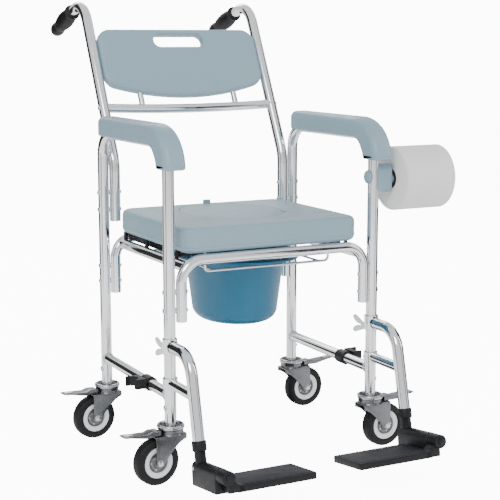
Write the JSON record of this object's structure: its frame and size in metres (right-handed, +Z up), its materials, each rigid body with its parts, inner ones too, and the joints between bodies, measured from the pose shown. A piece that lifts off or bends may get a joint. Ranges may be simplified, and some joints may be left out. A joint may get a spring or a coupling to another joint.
{
  "type": "commode chair",
  "caption": "Wheeled commode chair with a chromed tube frame, lidded seat, slide-out bucket, swing-away footrests, braked casters and a toilet-roll holder.",
  "frame": {"origin": "middle of the bounding box's footprint, on the floor under the casters", "axes": "+Z up, the sitter faces -Y, +X is the sitter's left"},
  "size_m": [0.7928, 1.0446, 1.0193],
  "materials": {
    "black_grip": "matte",
    "black_moulding": "satin",
    "black_plate": "textured",
    "blue_grey_moulding": "satin",
    "bright_bolt": "satin",
    "chromed_tube": "polished",
    "chromed_wire": "polished",
    "clear_wing": "translucent",
    "grey_hub": "satin",
    "roll_paper": "soft",
    "teal_bucket": "gloss",
    "tyre_rubber": "matte",
    "zinc_plate": "zinc plated"
  },
  "bodies": {
    "frame": {"arm_pad_left": "blue_grey_moulding", "arm_pad_right": "blue_grey_moulding", "back_crossbar": "chromed_tube", "back_tube_left": "chromed_tube", "back_tube_right": "chromed_tube", "backrest_panel": "blue_grey_moulding", "bucket_rack": "chromed_wire", "caster_race_front_left": "zinc_plate", "caster_race_front_right": "zinc_plate", "caster_race_rear_left": "zinc_plate", "caster_race_rear_right": "zinc_plate", "front_seat_bow": "chromed_tube", "lower_rail_left": "chromed_tube", "lower_rail_right": "chromed_tube", "push_grip_left": "black_grip", "push_grip_right": "black_grip", "rail_clip_left": "black_moulding", "rail_clip_right": "black_moulding", "rear_seat_bow": "chromed_tube", "roll_clamp": "blue_grey_moulding", "roll_spindle": "blue_grey_moulding", "seat": "blue_grey_moulding", "seat_rail_left": "chromed_tube", "seat_rail_right": "chromed_tube", "side_frame_left": "chromed_tube", "side_frame_right": "chromed_tube"},
    "swivel_front_right": {"caster_fork_front_right": "zinc_plate", "axle_bolt_front_right": "bright_bolt"},
    "wheel_front_right": {"tyre_front_right": "tyre_rubber", "wheel_hub_front_right": "grey_hub"},
    "pedal_front_right": {"brake_pedal_front_right": "zinc_plate"},
    "swivel_front_left": {"caster_fork_front_left": "zinc_plate", "axle_bolt_front_left": "bright_bolt"},
    "wheel_front_left": {"tyre_front_left": "tyre_rubber", "wheel_hub_front_left": "grey_hub"},
    "pedal_front_left": {"brake_pedal_front_left": "zinc_plate"},
    "swivel_rear_right": {"caster_fork_rear_right": "zinc_plate", "axle_bolt_rear_right": "bright_bolt"},
    "wheel_rear_right": {"tyre_rear_right": "tyre_rubber", "wheel_hub_rear_right": "grey_hub"},
    "pedal_rear_right": {"brake_pedal_rear_right": "zinc_plate"},
    "swivel_rear_left": {"caster_fork_rear_left": "zinc_plate", "axle_bolt_rear_left": "bright_bolt"},
    "wheel_rear_left": {"tyre_rear_left": "tyre_rubber", "wheel_hub_rear_left": "grey_hub"},
    "pedal_rear_left": {"brake_pedal_rear_left": "zinc_plate"},
    "hanger_right": {"hanger_tube_right": "chromed_tube", "foot_bracket_right": "black_moulding", "footplate_pin_right": "bright_bolt"},
    "plate_right": {"footplate_right": "black_plate"},
    "wing_right": {"wing_knob_right": "clear_wing"},
    "hanger_left": {"hanger_tube_left": "chromed_tube", "foot_bracket_left": "black_moulding", "footplate_pin_left": "bright_bolt"},
    "plate_left": {"footplate_left": "black_plate"},
    "wing_left": {"wing_knob_left": "clear_wing"},
    "bucket": {"bucket": "teal_bucket"},
    "lid": {"seat_lid": "blue_grey_moulding"},
    "roll": {"toilet_roll": "roll_paper"},
    "knob": {"roll_clamp_knob": "blue_grey_moulding"}
  },
  "joints": [
    {"name": "swivel_front_right_turn", "type": "hinge", "parent": "frame", "child": "swivel_front_right", "pos_m": [-0.27759, -0.24106, 0], "axis": [0, 0, 1], "continuous": true},
    {"name": "wheel_front_right_spin", "type": "hinge", "parent": "swivel_front_right", "child": "wheel_front_right", "pos_m": [-0.31431, -0.24557, 0.0505], "axis": [0.1219, -0.9925, 0], "continuous": true},
    {"name": "pedal_front_right_press", "type": "hinge", "parent": "swivel_front_right", "child": "pedal_front_right", "pos_m": [-0.32473, -0.24685, 0.1115], "axis": [0.1219, -0.9925, 0], "range_deg": [0, 12]},
    {"name": "swivel_front_left_turn", "type": "hinge", "parent": "frame", "child": "swivel_front_left", "pos_m": [0.22241, -0.24106, 0], "axis": [0, 0, 1], "continuous": true},
    {"name": "wheel_front_left_spin", "type": "hinge", "parent": "swivel_front_left", "child": "wheel_front_left", "pos_m": [0.25936, -0.23912, 0.0505], "axis": [-0.0523, 0.9986, 0], "continuous": true},
    {"name": "pedal_front_left_press", "type": "hinge", "parent": "swivel_front_left", "child": "pedal_front_left", "pos_m": [0.26985, -0.23857, 0.1115], "axis": [-0.0523, 0.9986, 0], "range_deg": [0, 12]},
    {"name": "swivel_rear_right_turn", "type": "hinge", "parent": "frame", "child": "swivel_rear_right", "pos_m": [-0.27759, 0.12794, 0], "axis": [0, 0, 1], "continuous": true},
    {"name": "wheel_rear_right_spin", "type": "hinge", "parent": "swivel_rear_right", "child": "wheel_rear_right", "pos_m": [-0.31431, 0.12343, 0.0505], "axis": [0.1219, -0.9925, 0], "continuous": true},
    {"name": "pedal_rear_right_press", "type": "hinge", "parent": "swivel_rear_right", "child": "pedal_rear_right", "pos_m": [-0.32473, 0.12215, 0.1115], "axis": [0.1219, -0.9925, 0], "range_deg": [0, 12]},
    {"name": "swivel_rear_left_turn", "type": "hinge", "parent": "frame", "child": "swivel_rear_left", "pos_m": [0.22241, 0.12794, 0], "axis": [0, 0, 1], "continuous": true},
    {"name": "wheel_rear_left_spin", "type": "hinge", "parent": "swivel_rear_left", "child": "wheel_rear_left", "pos_m": [0.25936, 0.12988, 0.0505], "axis": [-0.0523, 0.9986, 0], "continuous": true},
    {"name": "pedal_rear_left_press", "type": "hinge", "parent": "swivel_rear_left", "child": "pedal_rear_left", "pos_m": [0.26985, 0.13043, 0.1115], "axis": [-0.0523, 0.9986, 0], "range_deg": [0, 12]},
    {"name": "hanger_right_swing", "type": "hinge", "parent": "frame", "child": "hanger_right", "pos_m": [-0.27759, -0.24106, 0], "axis": [0, 0, -1], "range_deg": [0, 160]},
    {"name": "plate_right_flip", "type": "hinge", "parent": "hanger_right", "child": "plate_right", "pos_m": [-0.27759, -0.44106, 0.081], "axis": [0, -0.9914, 0.1305], "range_deg": [0, 90]},
    {"name": "wing_right_turn", "type": "hinge", "parent": "hanger_right", "child": "wing_right", "pos_m": [-0.27759, -0.22476, 0.28], "axis": [0, 1, 0], "range_deg": [-180, 180]},
    {"name": "hanger_left_swing", "type": "hinge", "parent": "frame", "child": "hanger_left", "pos_m": [0.22241, -0.24106, 0], "axis": [0, 0, 1], "range_deg": [0, 160]},
    {"name": "plate_left_flip", "type": "hinge", "parent": "hanger_left", "child": "plate_left", "pos_m": [0.22241, -0.44106, 0.081], "axis": [0, 0.9914, -0.1305], "range_deg": [0, 90]},
    {"name": "wing_left_turn", "type": "hinge", "parent": "hanger_left", "child": "wing_left", "pos_m": [0.22241, -0.22476, 0.28], "axis": [0, 1, 0], "range_deg": [-180, 180]},
    {"name": "bucket_slide", "type": "slide", "parent": "frame", "child": "bucket", "axis": [0, 1, 0], "range_m": [0, 0.36]},
    {"name": "lid_lift", "type": "slide", "parent": "frame", "child": "lid", "axis": [0, 0, 1], "range_m": [0, 0.1]},
    {"name": "roll_spin", "type": "hinge", "parent": "frame", "child": "roll", "pos_m": [0.26841, -0.24106, 0.621], "axis": [1, 0, 0], "continuous": true},
    {"name": "knob_turn", "type": "hinge", "parent": "frame", "child": "knob", "pos_m": [0.20971, -0.24106, 0.627], "axis": [1, 0, 0], "range_deg": [-180, 180]}
  ]
}
